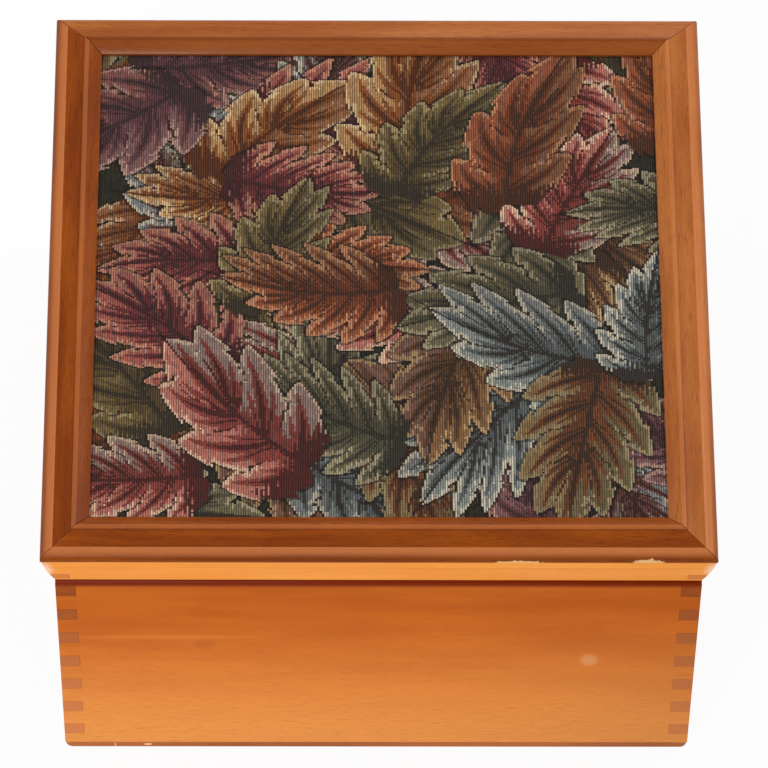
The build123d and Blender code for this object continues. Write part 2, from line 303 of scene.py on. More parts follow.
def build_end_grain() -> Effect:
    """Wood cut across: close specks in curved rows.

    Returns:
        The group, with the grain along the first axis.
    """
    effect = Effect("end_grain", ["Seed"], ["Speck"])
    g = effect.graph
    place = effect.inside["Vector"] + g.add("CombineXYZ", {"Y": effect.inside["Seed"]})
    specks = g.noise(place * (0.5, 2.6, 3.1), 1.0, 2.0, 0.7)
    rows = g.noise(place * (0.02, 0.25, 0.9), 1.0, 1.0)
    effect.give(Speck=g.stretch(specks * 0.6 + rows * 0.4, 0.38, 0.62))
    return effect


def build_wear() -> Effect:
    """Rubbed edges and handling marks.

    Returns:
        The group. Its Arris is 1 on the eased edges. Rub is where varnish has gone there,
        and Smudge is a soft mark anywhere.
    """
    effect = Effect("edge_wear", ["Arris", "Amount"], ["Rub", "Smudge"])
    g, place = effect.graph, effect.inside["Vector"]
    patches = g.noise(place * (0.045, 0.045, 0.045), 1.0, 4.0, 0.65)
    limit = 0.8 - effect.inside["Amount"] * 0.35
    smudge = g.noise(place * (0.02, 0.02, 0.02), 1.0, 3.0, 0.6)
    effect.give(
        Rub=g.stretch(patches, limit, limit + 0.08) * effect.inside["Arris"],
        Smudge=g.stretch(smudge, 0.35, 0.7),
    )
    return effect


def build_weave() -> Effect:
    """Ribbed cloth: upright ribs with fine picks across them.

    Returns:
        The group. Ribs and Picks are 0 in the furrows and 1 on the yarn, and Fuzz is its hair.
    """
    effect = Effect("ribbed_weave", ["Rib", "Pick"], ["Ribs", "Picks", "Fuzz"])
    g, place = effect.graph, effect.inside["Vector"]
    sway = g.noise(place * (0.02, 0.05, 0.0))

    def wave(along: Value, pitch: Value) -> Value:
        """A wave from 0 to 1 with a pitch."""
        return g.math("COSINE", along / pitch * (2 * math.pi)) * -0.5 + 0.5

    effect.give(
        Ribs=wave(g.part(place, 0), effect.inside["Rib"]),
        Picks=wave(g.part(place, 1) + sway * 0.8, effect.inside["Pick"]),
        Fuzz=g.noise(place * (3.5, 2.2, 2.0), 1.0, 3.0, 0.7),
    )
    return effect


GRAIN = build_grain()
END_GRAIN = build_end_grain()
WEAR = build_wear()
WEAVE = build_weave()


class Surface:
    """A new material with one Principled BSDF and coordinates in millimetres."""

    def __init__(self, name: str, turn: Point = (0.0, 0.0, 0.0)) -> None:
        """Starts the material.

        Args:
            name: Its name.
            turn: How the coordinates in place are turned, in radians. Those in plain are not.
        """
        self.material = bpy.data.materials.new(name)
        self.material.use_nodes = True
        self.graph = Graph(self.material.node_tree)
        self.shader = self.graph.tree.nodes["Principled BSDF"]
        metres = self.graph.add("TexCoord", output="Object")
        scale = (1 / MM, 1 / MM, 1 / MM)
        self.plain = metres * scale
        self.place = self.graph.add("Mapping", {"Vector": metres, "Rotation": turn, "Scale": scale})

    def finished(self, sockets: dict[str, Term]) -> Material:
        """Feeds the shader's sockets.

        Args:
            sockets: What goes into them, by name.

        Returns:
            The material.
        """
        for name, value in sockets.items():
            self.graph.feed(self.shader.inputs[name], value)
        return self.material


@dataclass(frozen=True)
class Mark:
    """A spot on a finish: place and half sizes in millimetres, looks, and how broken its edge is."""

    middle: Point
    reach: Point
    colour: Colour
    strength: float
    broken: float


@dataclass(frozen=True)
class VarnishedWood:
    """Varnished wood with a lighter and a darker tone, end grain and rubbed edges, painted paler towards the
    bottom where the floor's bounce light falls, and painted shade, highlights or dark joints from a face
    attribute.
    """

    name: str
    light: Colour
    dark: Colour
    end: Colour
    fleck: float = 0.35
    pore: float = 0.0
    pore_light: float = 0.35
    speck: float = 0.5
    speck_light: float = 0.45
    figure: float = 1.0
    bands: float = 0.15
    gloss: float = 0.32
    coat: float = 0.12
    specular: float = 0.3
    wear: float = 0.3
    rub: float = 0.75
    rubbed: Colour = srgb(226, 176, 120)
    # A face attribute's colour and strength: painted shade under the lid, painted highlights and shade on the
    # frame's mouldings, and a dark joint under the lid panel.
    seam: Colour = srgb(120, 36, 0)
    seam_strength: float = 0.0
    # Painted light: the side and the end grain grow paler towards the bottom, over a height above a level,
    # where the floor's bounce light falls.
    pale: Colour = srgb(216, 142, 72)
    pale_end: Colour = srgb(198, 122, 72)
    pale_end_share: float = 0.9
    pale_at: float = -1000.0
    pale_over: float = 135.0
    marks: tuple[Mark, ...] = ()

    def marked(self, made: Surface, colour: Value) -> Value:
        """Adds the marks to a colour.

        Args:
            made: The surface that they are on.
            colour: The colour so far.

        Returns:
            The colour with its marks.
        """
        g = made.graph
        for mark in self.marks:
            away = g.length((made.plain - mark.middle) / mark.reach)
            ragged = (g.noise(made.plain, 0.9, 3.0, 0.7) - 0.5) * (4 * mark.broken)
            strength = g.stretch(away + ragged, 0.2 + 1.8 * mark.broken, 1.15, mark.strength, 0.0)
            colour = g.mix(strength, colour, mark.colour)
        return colour

    def material(self, axis: Axis, seed: float) -> Material:
        """The finish on one board.

        Args:
            axis: The way the grain runs.
            seed: A number that no other board of the finish has.

        Returns:
            The material.
        """
        made = Surface(f"{self.name}_{seed:g}", axis.value)
        g = made.graph
        arris, seam, cut = (
            g.add("Attribute", output="Fac", attribute_name=name) for name in ("arris", "seam", "end_grain"))
        grain = GRAIN.place(g, Vector=made.place, Seed=seed)
        speck = END_GRAIN.place(g, Vector=made.place, Seed=seed)["Speck"]
        worn = WEAR.place(g, Vector=made.place, Arris=arris, Amount=self.wear)
        # Painted light: the side and the end grain turn paler towards the bottom, where the floor's bounce
        # light falls.
        floor_lit = g.stretch(g.part(made.plain, 2), self.pale_at, self.pale_at + self.pale_over, 1.0, 0.0)
        tone = grain["Figure"] * self.figure + (grain["Bands"] - 0.5) * self.bands
        side = g.mix(tone, self.light, self.dark)
        side = g.mix(floor_lit, side, self.pale)
        side = g.mix(grain["Fleck"] * self.fleck, side, self.end)
        side = g.mix(grain["Pore"] * self.pore, side, darker(self.end, self.pore_light))
        end = g.mix(speck * self.speck, self.end, darker(self.end, self.speck_light))
        end = g.mix(g.math("SQRT", floor_lit) * self.pale_end_share, end, self.pale_end)
        colour = g.mix(cut, side, end)
        colour = g.mix(worn["Rub"] * self.rub, colour, self.rubbed)
        # Painted shade, painted highlights or a dark joint, where the face attribute says.
        colour = g.mix(seam * self.seam_strength, colour, self.seam)
        relief = grain["Pore"] * self.pore + grain["Fleck"] * 0.3 + speck * cut * 0.8
        return made.finished({
            "Base Color": self.marked(made, colour),
            "Roughness": worn["Smudge"] * 0.10 + self.gloss + cut * 0.15 + worn["Rub"] * 0.25,
            "Normal": g.bump(1.0 - relief, 0.35, 0.05),
            "Specular IOR Level": self.specular,
            "Coat Weight": self.coat,
            "Coat Roughness": 0.1,
        })


@dataclass(frozen=True)
class Brass:
    """Drawn brass with fine scratches and a brown bloom."""

    name: str = "brass"
    bright: Colour = srgb(214, 184, 122)
    dull: Colour = srgb(180, 146, 88)

    def material(self) -> Material:
        """Makes the finish.

        Returns:
            The material.
        """
        made = Surface(self.name)
        g = made.graph
        bloom = g.stretch(g.noise(made.place, 0.16), 0.3, 0.75)
        scratch = g.stretch(g.noise(made.place * (0.12, 5.0, 5.0)), 0.45, 0.7)
        return made.finished({
            "Base Color": g.mix(bloom, self.bright, self.dull),
            "Roughness": (bloom + scratch) * 0.14 + 0.24,
            "Normal": g.bump(scratch, 0.05, 0.01),
            "Metallic": 1.0,
        })


@dataclass(frozen=True)
class Fibre:
    """Felt, wadding or hardboard: matted fibres in two tones."""

    name: str
    light: Colour
    dark: Colour
    scale: float = 1.0
    relief: float = 0.3
    sheen: float = 0.0

    def material(self) -> Material:
        """Makes the finish.

        Returns:
            The material.
        """
        made = Surface(self.name)
        g = made.graph
        matted = g.noise(made.place, 0.9 * self.scale, 5.0, 0.75)
        patches = g.noise(made.place, 0.05 * self.scale, 3.0)
        tone = g.stretch(matted * 0.7 + patches * 0.3, 0.35, 0.65)
        return made.finished({
            "Base Color": g.mix(tone, self.light, self.dark),
            "Roughness": g.stretch(matted, 0.2, 0.8, 0.82, 0.96),
            "Normal": g.bump(matted, 0.6, self.relief),
            "Specular IOR Level": 0.15,
            "Sheen Weight": self.sheen,
        })


@dataclass(frozen=True)
class Tapestry:
    """Jacquard cloth: each cell's yarn colour comes from the attribute, ribs from the weave."""

    name: str = "tapestry"
    rib: float = 0.93
    pick: float = 0.70
    age: Colour = (0.91, 0.85, 0.76)

    def material(self) -> Material:
        """Makes the finish.

        Returns:
            The material.
        """
        made = Surface(self.name)
        g = made.graph
        yarn = g.add("Attribute", output="Color", attribute_name="yarn")
        weave = WEAVE.place(g, Vector=made.place, Rib=self.rib, Pick=self.pick)
        # Painted shade and light: the yarn's colour darkens into the furrows between the ribs and the picks
        # and lightens a little on their crowns; the fuzz varies it at random.
        furrow = g.stretch(weave["Ribs"], 0.05, 0.75, 0.34, 1.12)
        across = g.stretch(weave["Picks"], 0.0, 0.6, 0.78, 1.04)
        shade = furrow * across * g.stretch(weave["Fuzz"], 0.25, 0.75, 0.82, 1.18)
        grey = g.add("CombineXYZ", {0: shade, 1: shade, 2: shade})
        return made.finished({
            "Base Color": g.mix(1.0, g.mix(1.0, yarn, self.age, "MULTIPLY"), grey, "MULTIPLY"),
            "Roughness": g.stretch(weave["Fuzz"], 0.2, 0.8, 0.78, 0.95),
            "Normal": g.bump(weave["Ribs"] + weave["Picks"] * 0.5, 0.7, 0.12),
            "Specular IOR Level": 0.15,
            "Sheen Weight": 0.05,
        })


CHIP = srgb(255, 204, 142)
CASE_WOOD = VarnishedWood(
    "case_wood", srgb(194, 99, 19), srgb(178, 83, 10), srgb(158, 78, 25),
    # Painted shadow of the lid on the rim and just below it, and painted floor light, paler towards the
    # bottom.
    figure=0.9, bands=0.1, fleck=0.36, specular=0.03, coat=0.01, seam_strength=1.0, pale_at=-20.0,
    marks=(
        Mark((84.7, CASE_FRONT, 68.5), (4.4, 4.0, 5.6), srgb(226, 184, 136), 0.26, 0.08),
        Mark((-69.3, CASE_FRONT, 80.2), (5.5, 4.0, 4.5), srgb(150, 70, 26), 0.3, 0.05),
        Mark((-84.0, CASE_FRONT, 85.4), (44.0, 4.0, 2.0), srgb(226, 140, 60), 0.24, 0.08),
    ),
)
SKIRT_WOOD = VarnishedWood(
    "lid_wood", srgb(246, 157, 58), srgb(234, 143, 48), srgb(222, 132, 60),
    # Painted shade on the lower rim's bevel, and a dark joint under the panel.
    figure=0.8, specular=0.04, coat=0.02, seam_strength=0.6,
    # Painted highlights: pale patches at both front corners of the skirt, standing for the bright
    # surroundings mirrored there.
    marks=tuple(
        Mark((end * 132.0, -130.0, 140.0), (5.5, 6.0, 9.0), srgb(252, 216, 190), 0.75, 0.1)
        for end in (-1, 1)
    ),
)
BASE_WOOD = VarnishedWood(
    "base_wood", srgb(178, 104, 58), srgb(150, 82, 42), srgb(110, 56, 26), specular=0.06, coat=0.02, wear=0.5,
    marks=(
        Mark((-106.6, CASE_FRONT, 2.0), (0.35, 2.0, 2.2), CHIP, 0.6, 0.1),
        Mark((-93.2, CASE_FRONT, 2.4), (1.9, 2.0, 0.8), CHIP, 0.7, 0.2),
    ),
)
FRAME_WOOD = VarnishedWood(
    "frame_wood", srgb(150, 72, 10), srgb(120, 50, 4), srgb(86, 34, 4),
    fleck=0.34, pore=0.6, bands=0.3, gloss=0.24, coat=0.04, specular=0.08, wear=0.42,
    # Painted highlights on the bead and on the outer strip's shoulder.
    rubbed=srgb(206, 150, 98), seam=srgb(206, 126, 74), seam_strength=0.65,
    marks=(
        Mark((54.6, FRAME_FRONT, 148.8), (8.2, 1.8, 0.9), CHIP, 0.75, 0.5),
        Mark((104.8, FRAME_FRONT, 149.1), (5.2, 1.8, 1.2), CHIP, 0.75, 0.5),
    ),
)
# A painted-lit copy of the frame's wood, lighter, for the rails where more light falls.
PAINTED_LIT_FRAME_WOOD = replace(
    FRAME_WOOD, name="pale_frame_wood",
    light=srgb(180, 106, 50), dark=srgb(152, 80, 30), end=srgb(116, 56, 20),
)
# The back rail's copy of it, with painted shade on its bead and slope.
BACK_FRAME_WOOD = replace(
    PAINTED_LIT_FRAME_WOOD, name="back_frame_wood",
    light=srgb(176, 102, 46), seam=srgb(112, 48, 4), seam_strength=0.75,
)
TRAY_WOOD = VarnishedWood(
    "tray_wood", srgb(220, 168, 106), srgb(198, 138, 78), srgb(156, 100, 54),
    gloss=0.42, coat=0.03, specular=0.15,
)
FELT = Fibre("felt", srgb(66, 84, 62), srgb(46, 62, 46), scale=1.6, relief=0.25, sheen=0.4)
WADDING = Fibre("wadding", srgb(240, 238, 230), srgb(214, 210, 198), scale=0.6, relief=0.6, sheen=0.3)
HARDBOARD = Fibre("hardboard", srgb(150, 112, 76), srgb(120, 86, 56), scale=1.4, relief=0.1)


def corners(node: str) -> tuple[Vector, Vector]:
    """The lowest and the highest corner of a CAD node's box."""
    low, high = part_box(node)
    return Vector(low), Vector(high)


def new_object(name: str, mesh: BMesh) -> Object:
    """Turns a bmesh into an object in the scene.

    Args:
        name: The object's name.
        mesh: The finished bmesh, which is freed.

    Returns:
        The object.
    """
    data = bpy.data.meshes.new(name)
    mesh.to_mesh(data)
    mesh.free()
    made = bpy.data.objects.new(name, data)
    bpy.context.scene.collection.objects.link(made)
    return made


def box_mesh(low: Sequence[float], high: Sequence[float]) -> BMesh:
    """A block between two corners.

    Args:
        low: The lowest corner.
        high: The highest one.

    Returns:
        The block.
    """
    mesh = bmesh.new()
    size, middle = Vector(high) - Vector(low), (Vector(high) + Vector(low)) / 2
    bmesh.ops.create_cube(mesh, size=1.0, matrix=Matrix.Translation(middle) @ Matrix.Diagonal((*size, 1.0)))
    return mesh


def only(kind: type, geometry: Iterable) -> list:
    """The vertices, edges or faces among what an operator gives back."""
    return [item for item in geometry if isinstance(item, kind)]


def shift(mesh: BMesh, vector: Sequence[float], verts: list[BMVert] | None = None) -> None:
    """Moves some vertices, or the whole mesh."""
    bmesh.ops.translate(mesh, verts=mesh.verts[:] if verts is None else verts, vec=vector)


def bisect(mesh: BMesh, place: Sequence[float], normal: Sequence[float], clear: bool = False) -> list[BMEdge]:
    """Cuts all faces at a plane.

    Args:
        mesh: The bmesh.
        place: A point of the plane.
        normal: The way it faces.
        clear: True if what lies before it goes.

    Returns:
        The edges of the cut.
    """
    geometry = mesh.verts[:] + mesh.edges[:] + mesh.faces[:]
    cut = bmesh.ops.bisect_plane(
        mesh, geom=geometry, plane_co=place, plane_no=normal, clear_outer=clear, dist=NEAR / 10)
    return only(BMEdge, cut["geom_cut"])


def name_faces(
        mesh: BMesh, name: str, value: Callable[[BMFace], float],
        faces: Iterable[BMFace] | None = None) -> None:
    """Sets an attribute on faces.

    Args:
        mesh: The bmesh.
        name: The attribute's name.
        value: Gives a face's value, from 0 to 1.
        faces: The faces, or None for all.
    """
    layer = mesh.faces.layers.float.get(name) or mesh.faces.layers.float.new(name)
    for face in mesh.faces if faces is None else faces:
        face[layer] = float(value(face))


def ease(mesh: BMesh, edges: Iterable[BMEdge], width: float, segments: int) -> None:
    """Bevels edges and marks the new faces as arris.

    Args:
        mesh: The bmesh.
        edges: The edges to bevel.
        width: The bevel's width.
        segments: Its number of strips.
    """
    # The attribute has to be there before the bevel gives its faces.
    name_faces(mesh, "arris", lambda face: 0.0, [])
    made = bmesh.ops.bevel(
        mesh, geom=list(edges), offset=width, offset_type="OFFSET", affect="EDGES", segments=segments,
        profile=0.5, material=-1, clamp_overlap=True,
    )
    name_faces(mesh, "arris", lambda face: 1.0, made["faces"])


def sharp_edges(mesh: BMesh, angle: float = 0.45) -> list[BMEdge]:
    """Edges whose faces turn by more than an angle in radians."""
    return [edge for edge in mesh.edges if edge.is_manifold and edge.calc_face_angle() > angle]


def smooth_curves(mesh: BMesh, angle: float = 0.3) -> None:
    """Shades a mesh smooth where its faces hardly turn.

    Args:
        mesh: The bmesh.
        angle: The turn from which an edge stays sharp, in radians.
    """
    for face in mesh.faces:
        face.smooth = True
    for edge in mesh.edges:
        edge.smooth = edge.is_manifold and edge.calc_face_angle() < angle


def sheet_mesh(
        low: Vector, high: Vector, cells: tuple[int, int],
        rise: Callable[[float, float], float]) -> BMesh:
    """A closed sheet of cells with a flat back.

    Args:
        low: The sheet's lowest corner.
        high: Its highest corner.
        cells: Their number across and from front to back.
        rise: Gives the face's height over the highest corner, for a place about its middle.

    Returns:
        The sheet.
    """
    mesh = bmesh.new()
    middle, size = (low + high) / 2, high - low
    place = Matrix.Translation((middle.x, middle.y, high.z)) @ Matrix.Diagonal((size.x, size.y, 1, 1))
    bmesh.ops.create_grid(mesh, x_segments=cells[0], y_segments=cells[1], size=0.5, matrix=place)
    for vert in mesh.verts:
        vert.co.z += rise(vert.co.x - middle.x, vert.co.y - middle.y)
    border = [edge for edge in mesh.edges if edge.is_boundary]
    sides = bmesh.ops.extrude_edge_only(mesh, edges=border)["geom"]
    for vert in only(BMVert, sides):
        vert.co.z = low.z
    bmesh.ops.edgeloop_fill(mesh, edges=[edge for edge in only(BMEdge, sides) if edge.is_boundary])
    bmesh.ops.recalc_face_normals(mesh, faces=mesh.faces[:])
    return mesh


def cut_away(piece: Object, cutters: Sequence[Object]) -> None:
    """Cuts shapes out of a piece and leaves the result as its mesh.

    Args:
        piece: The piece.
        cutters: What is cut out. They are removed afterwards.
    """
    for cutter in cutters:
        modifier = piece.modifiers.new("cut", "BOOLEAN")
        modifier.object, modifier.operation, modifier.solver = cutter, "DIFFERENCE", "EXACT"
    if cutters:
        shown = piece.evaluated_get(bpy.context.evaluated_depsgraph_get())
        result = bpy.data.meshes.new_from_object(shown)
        piece.modifiers.clear()
        piece.data = result
    for cutter in cutters:
        bpy.data.objects.remove(cutter)


def carried(node: str, material: Material) -> None:
    """Dresses a CAD node that stays as it is.

    Args:
        node: The node.
        material: Its finish.
    """
    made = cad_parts[node]
    if not made.data.materials:
        made.data.materials.append(material)
    for slot in made.material_slots:
        slot.material = material
    log.info("dressed %s", node)


def fit(piece: Object, material: Material, body: str, node: str) -> None:
    """Dresses a piece and lets it stand for a CAD node.

    Args:
        piece: The finished piece.
        material: Its finish.
        body: The CAD body it rides on.
        node: The node it replaces.
    """
    piece.data.materials.clear()
    piece.data.materials.append(material)
    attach(piece, body)
    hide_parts(node)
    log.info("built %s for %s", piece.name, node)


@dataclass
class Flare:
    """The lid's outer form: how far its sides reach past the case at each height."""

    bottom: float
    top: float
    overhang: float = 5.0 * MM
    low_reach: float = -0.5 * MM
    high_reach: float = 4.6 * MM
    bow: float = 0.5 * MM
    step: float = 1.6 * MM

    def __post_init__(self) -> None:
        """Reads half of the case's width and depth, and adds the overhang for the block to start from."""
        case = corners("base_panel")[1]
        self.case = Vector((case.x, case.y, 0))
        self.block = self.case + Vector((self.overhang, self.overhang, 0))

    def past(self, level: float) -> float:
        """How far the side reaches past the case's face.

        Args:
            level: The level that is asked for.

        Returns:
            The distance.
        """
        share = (level - self.bottom) / (self.top - self.bottom)
        straight = self.low_reach + (self.high_reach - self.low_reach) * share
        return straight + self.bow * 4 * share * (1 - share)

    def shape(self, mesh: BMesh, low: float, high: float) -> None:
        """Draws a block's outer faces onto the form.

        Args:
            mesh: The block.
            low: Its lowest level.
            high: Its highest level.
        """
        count = max(1, round((high - low) / self.step))
        for index in range(1, count):
            bisect(mesh, (0, 0, low + (high - low) * index / count), (0, 0, 1))
        for vert in mesh.verts:
            for axis in (0, 1):
                if abs(abs(vert.co[axis]) - self.block[axis]) < NEAR:
                    vert.co[axis] = math.copysign(self.case[axis] + self.past(vert.co.z), vert.co[axis])


@dataclass
class JointedSides:
    """Four boards that stand on one level, finger-jointed at the corners."""

    body: str
    prefix: str
    slot: str
    wood: VarnishedWood
    seed: float
    count: int
    finger: float
    above: float
    rim: float
    rim_at_top: bool = True
    fine: float = 0.22 * MM
    flare: Flare | None = None
    # Depths below the top of the strips that get painted shadow, and how far inside the outer face such a
    # face may lie.
    dusk: tuple[float, ...] = ()
    dusk_depth: float = 0.7 * MM
    cutters: Sequence[Object] = ()

    def __post_init__(self) -> None:
        """Reads the sides' outer sizes from the CAD boards."""
        low, inner = corners(f"{self.prefix}front_board")
        back = corners(f"{self.prefix}back_board")[1].y
        self.bottom, self.top = low.z, inner.z
        self.middle = (back + low.y) / 2
        self.half = self.rim_reach = Vector((inner.x, (back - low.y) / 2, 0))
        if self.flare:
            past = self.flare.past(self.bottom)
            self.half, self.rim_reach = self.flare.block, self.flare.case + Vector((past, past, 0))
        self.board = inner.y - self.middle + self.half.y

    def spans(self) -> list[tuple[float, float]]:
        """Finds where the fingers are.

        Returns:
            The lowest and the highest level of each finger, from the top down.
        """
        pitch = (self.top - self.bottom) / self.count
        tops = [self.top - self.above - pitch * index for index in range(self.count)]
        return [(top - self.finger, top) for top in tops]

    def plate(self, side: Side) -> BMesh:
        """A board's face, upright in X and Z, with its ends notched.

        Args:
            side: Its side. At the front and back the notches are at the fingers.

        Returns:
            The flat face.
        """
        mesh = bmesh.new()
        half, height = side.sizes(self.half)[0], self.top - self.bottom
        upright = Matrix.Translation((0, 0, self.bottom + height / 2)) @ Matrix.Rotation(math.pi / 2, 4, "X")
        size = Matrix.Diagonal((2 * half, height, 1, 1))
        bmesh.ops.create_grid(mesh, x_segments=1, y_segments=1, size=0.5, matrix=upright @ size)
        for level in (level for span in self.spans() for level in span):
            bisect(mesh, (0, 0, level), (0, 0, 1))
        for end in (-1, 1):
            bisect(mesh, (end * (half - self.board), 0, 0), (1, 0, 0))

        def notched(face: BMFace) -> bool:
            """Whether a face at an end lies in a notch.

            Args:
                face: A face of the cut plate.

            Returns:
                True if it does.
            """
            middle = face.calc_center_median()
            in_finger = any(low < middle.z < high for low, high in self.spans())
            return abs(middle.x) > half - self.board and in_finger == (side.grain is Axis.ACROSS)

        bmesh.ops.delete(mesh, geom=[face for face in mesh.faces if notched(face)], context="FACES")
        bmesh.ops.dissolve_limit(mesh, angle_limit=0.01, verts=mesh.verts[:], edges=mesh.edges[:])
        return mesh

    def build_board(self, side: Side) -> Object:
        """Builds one board.

        Args:
            side: Its side.

        Returns:
            The board in its place.
        """
        mesh = self.plate(side)
        grown = bmesh.ops.extrude_face_region(mesh, geom=mesh.faces[:])["geom"]
        shift(mesh, (0, self.board, 0), only(BMVert, grown))
        shift(mesh, (0, -side.sizes(self.half)[1], 0))
        side.turn(mesh)
        bmesh.ops.recalc_face_normals(mesh, faces=mesh.faces[:])
        along = 0 if side.grain is Axis.ACROSS else 1
        name_faces(mesh, "end_grain", lambda face: abs(face.normal[along]) > 0.8)
        # Strips below the top, for the painted shadow.
        for depth in self.dusk:
            bisect(mesh, (0, 0, self.top - depth), (0, 0, 1))
        if self.flare:
            self.flare.shape(mesh, self.bottom, self.top)
        ease(mesh, [edge for edge in mesh.edges if self.is_rim(edge)], self.rim, 3)
        # Painted shadow on the rim's bevel and on the strips below it.
        name_faces(mesh, "seam", self.seam_of)
        ease(mesh, sharp_edges(mesh, CORNER), self.fine, 2)
        smooth_curves(mesh)
        shift(mesh, (0, self.middle, 0))
        return new_object(f"{self.body}_{side.word}", mesh)

    def seam_of(self, face: BMFace) -> float:
        """How much painted shade a face gets: full on the rim's bevel, less on the strips below it, where the
        lid shades the case's rim and its own lower edge.

        Args:
            face: A face of a board about the sides' middle.

        Returns:
            The share, from 0 to 1.
        """
        if 0.4 < abs(face.normal.z) < 0.98:
            return 1.0
        middle = face.calc_center_median()
        outside = max(abs(middle.x) - self.half.x, abs(middle.y) - self.half.y) > -self.dusk_depth
        return outside * sum(middle.z > self.top - depth for depth in self.dusk) / max(1, len(self.dusk))

    def is_rim(self, edge: BMEdge) -> bool:
        """Whether an edge is part of the rim's outer arris.

        Args:
            edge: An edge of a board about the sides' middle.

        Returns:
            True if it is.
        """
        level, reach = self.top if self.rim_at_top else self.bottom, self.rim_reach
        ends = [vert.co for vert in edge.verts]
        if any(abs(point.z - level) > NEAR for point in ends):
            return False
        return any(all(abs(abs(point[axis]) - reach[axis]) < NEAR for point in ends) for axis in (0, 1))

    def build(self) -> None:
        """Builds, cuts, dresses and fits the four boards."""
        for index, side in enumerate(Side):
            piece = self.build_board(side)
            if side is Side.BACK:
                cut_away(piece, self.cutters)
            material = self.wood.material(side.grain, self.seed + index)
            fit(piece, material, self.body, f"{self.prefix}{side.word}_board")


@dataclass
class MouldedFrame:
    """Four mitred rails; sizes go inwards from the outer edge and up from the lid panel."""

    lip: float = 1.2 * MM
    strip_width: float = 4.4 * MM
    strip_rise: float = 2.3 * MM
    strip_bow: float = 0.8 * MM
    shoulder_before: float = 0.5 * MM
    shoulder_after: float = 0.8 * MM
    shoulder_drop: float = 0.1 * MM
    shoulder_bow: float = 0.06 * MM
    flat_width: float = 7.6 * MM
    flat_rise: float = 1.7 * MM
    bead_width: float = 2.0 * MM
    bead_step: float = 0.7 * MM
    bead_crown: float = 0.3 * MM
    slope_fall: float = 2.6 * MM
    rebate_width: float = 3.5 * MM
    rebate_height: float = 2.1 * MM
    mitre_gaps: tuple[float, ...] = (0.10 * MM, 0.16 * MM, 0.12 * MM, 0.20 * MM)
    fine: float = 0.16 * MM
    # Painted highlights on the bead and on the outer strip's shoulder, and painted shade on the back rail's
    # bead and slope.
    rubbed_bead: float = 0.45
    rubbed_past: float = 0.4 * MM
    shaded_slope: float = 0.64
    shaded_before: float = 0.1 * MM

    def __post_init__(self) -> None:
        """Reads the frame's outer sizes from the CAD rails."""
        low, high = corners("frame_front_rail")
        self.width, self.bottom = high.y - low.y, low.z
        self.half = Vector((-corners("frame_left_rail")[0].x, -low.y, 0))

    @staticmethod
    def arc(start: Vector, end: Vector, bow: float, steps: int) -> list[Vector]:
        """Points on a bowed line after its start, up to its end.

        Args:
            start: Where it starts.
            end: Where it ends.
            bow: How far its middle stands from the chord, to the left of its way.
            steps: Its number of stretches.

        Returns:
            The points.
        """
        chord = end - start
        aside = Vector((-chord.y, chord.x)).normalized()
        shares = [index / steps for index in range(1, steps + 1)]
        return [start + chord * share + aside * bow * 4 * share * (1 - share) for share in shares]

    def profile(self) -> list[Vector]:
        """The moulding's section.

        Returns:
            Its corners, inwards and up.
        """
        strip_top = self.lip + self.strip_rise
        flat_end, flat_top = self.strip_width + self.flat_width, strip_top + self.flat_rise
        bead_top = flat_top + self.bead_step
        rebate = self.width - self.rebate_width
        strip_end = Vector((self.strip_width - self.shoulder_before, strip_top - self.shoulder_drop))
        rise = self.shoulder_after * self.flat_rise / self.flat_width
        shoulder = Vector((self.strip_width + self.shoulder_after, strip_top + rise))
        points = [Vector((0, 0)), Vector((0, self.lip))]
        points += self.arc(points[-1], strip_end, self.strip_bow, 7)
        points += self.arc(points[-1], shoulder, self.shoulder_bow, 4)
        points += [Vector((flat_end, flat_top)), Vector((flat_end, bead_top))]
        points += self.arc(points[-1], Vector((flat_end + self.bead_width, bead_top)), self.bead_crown, 5)
        points += [Vector((self.width, bead_top - self.slope_fall)), Vector((self.width, self.rebate_height))]
        return points + [Vector((rebate, self.rebate_height)), Vector((rebate, 0))]

    def seam_of(self, face: BMFace, side: Side) -> float:
        """How much painted light or shade a face gets, against the flat's colour.

        On the back rail the bead and the slope get painted shade. On the others the bead and,
        towards its shoulder, the outer strip get a painted highlight.

        Args:
            face: A face of a rail before it is turned.
            side: The rail's side.

        Returns:
            The share, from 0 to 1.
        """
        middle = face.calc_center_median()
        inwards = middle.y + side.sizes(self.half)[1]
        past_flat = inwards - self.strip_width - self.flat_width
        if side is Side.BACK:
            if past_flat <= -self.shaded_before:
                return 0.0
            return 1.0 if past_flat < self.bead_width else self.shaded_slope
        if inwards < self.strip_width + self.rubbed_past:
            return min(1.0, max(0.0, (middle.z - self.bottom - self.lip) / self.strip_rise)) ** 3
        return self.rubbed_bead if 0 < past_flat < self.bead_width else 0.0

    def build_rail(self, side: Side, gaps: Sequence[float]) -> Object:
        """Builds one rail.

        Args:
            side: Its side of the frame.
            gaps: Half of the open joint at each end.

        Returns:
            The rail in its place.
        """
        mesh = bmesh.new()
        half, reach = side.sizes(self.half)
        section = [
            mesh.verts.new((-half, point.x - reach, self.bottom + point.y)) for point in self.profile()]
        grown = bmesh.ops.extrude_face_region(mesh, geom=[mesh.faces.new(section)])["geom"]
        shift(mesh, (2 * half, 0, 0), only(BMVert, grown))
        for end, gap in zip((-1, 1), gaps):
            outwards = Vector((end, 1, 0)).normalized()
            rim = bisect(mesh, (end * (half - gap), -reach, 0), outwards, clear=True)
            bmesh.ops.edgeloop_fill(mesh, edges=rim)
        bmesh.ops.recalc_face_normals(mesh, faces=mesh.faces[:])
        ease(mesh, sharp_edges(mesh), self.fine, 2)
